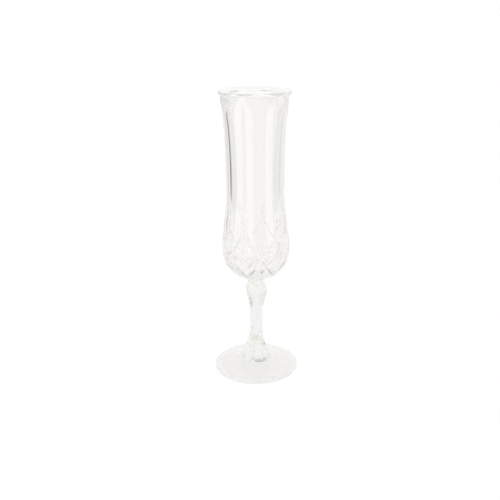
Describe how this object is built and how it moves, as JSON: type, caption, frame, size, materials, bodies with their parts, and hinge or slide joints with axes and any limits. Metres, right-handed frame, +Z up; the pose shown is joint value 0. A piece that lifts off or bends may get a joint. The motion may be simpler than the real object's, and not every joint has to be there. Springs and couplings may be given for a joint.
{
  "type": "champagne flute",
  "caption": "Tall clear crystal champagne flute with an out-turned lip, diamond cuts round the belly of its bowl, a faceted knop and stem, and a round domed foot.",
  "frame": {"origin": "centre of the circle that the foot stands on", "axes": "+Z up along the glass's axis, -Y towards the front"},
  "size_m": [0.062, 0.062, 0.205],
  "materials": {
    "bowl": "fire-polished clear crystal",
    "stem": "fire-polished clear crystal",
    "foot": "fire-polished clear crystal"
  },
  "bodies": {
    "root": {"bowl": "bowl", "stem": "stem", "foot": "foot"}
  },
  "joints": []
}
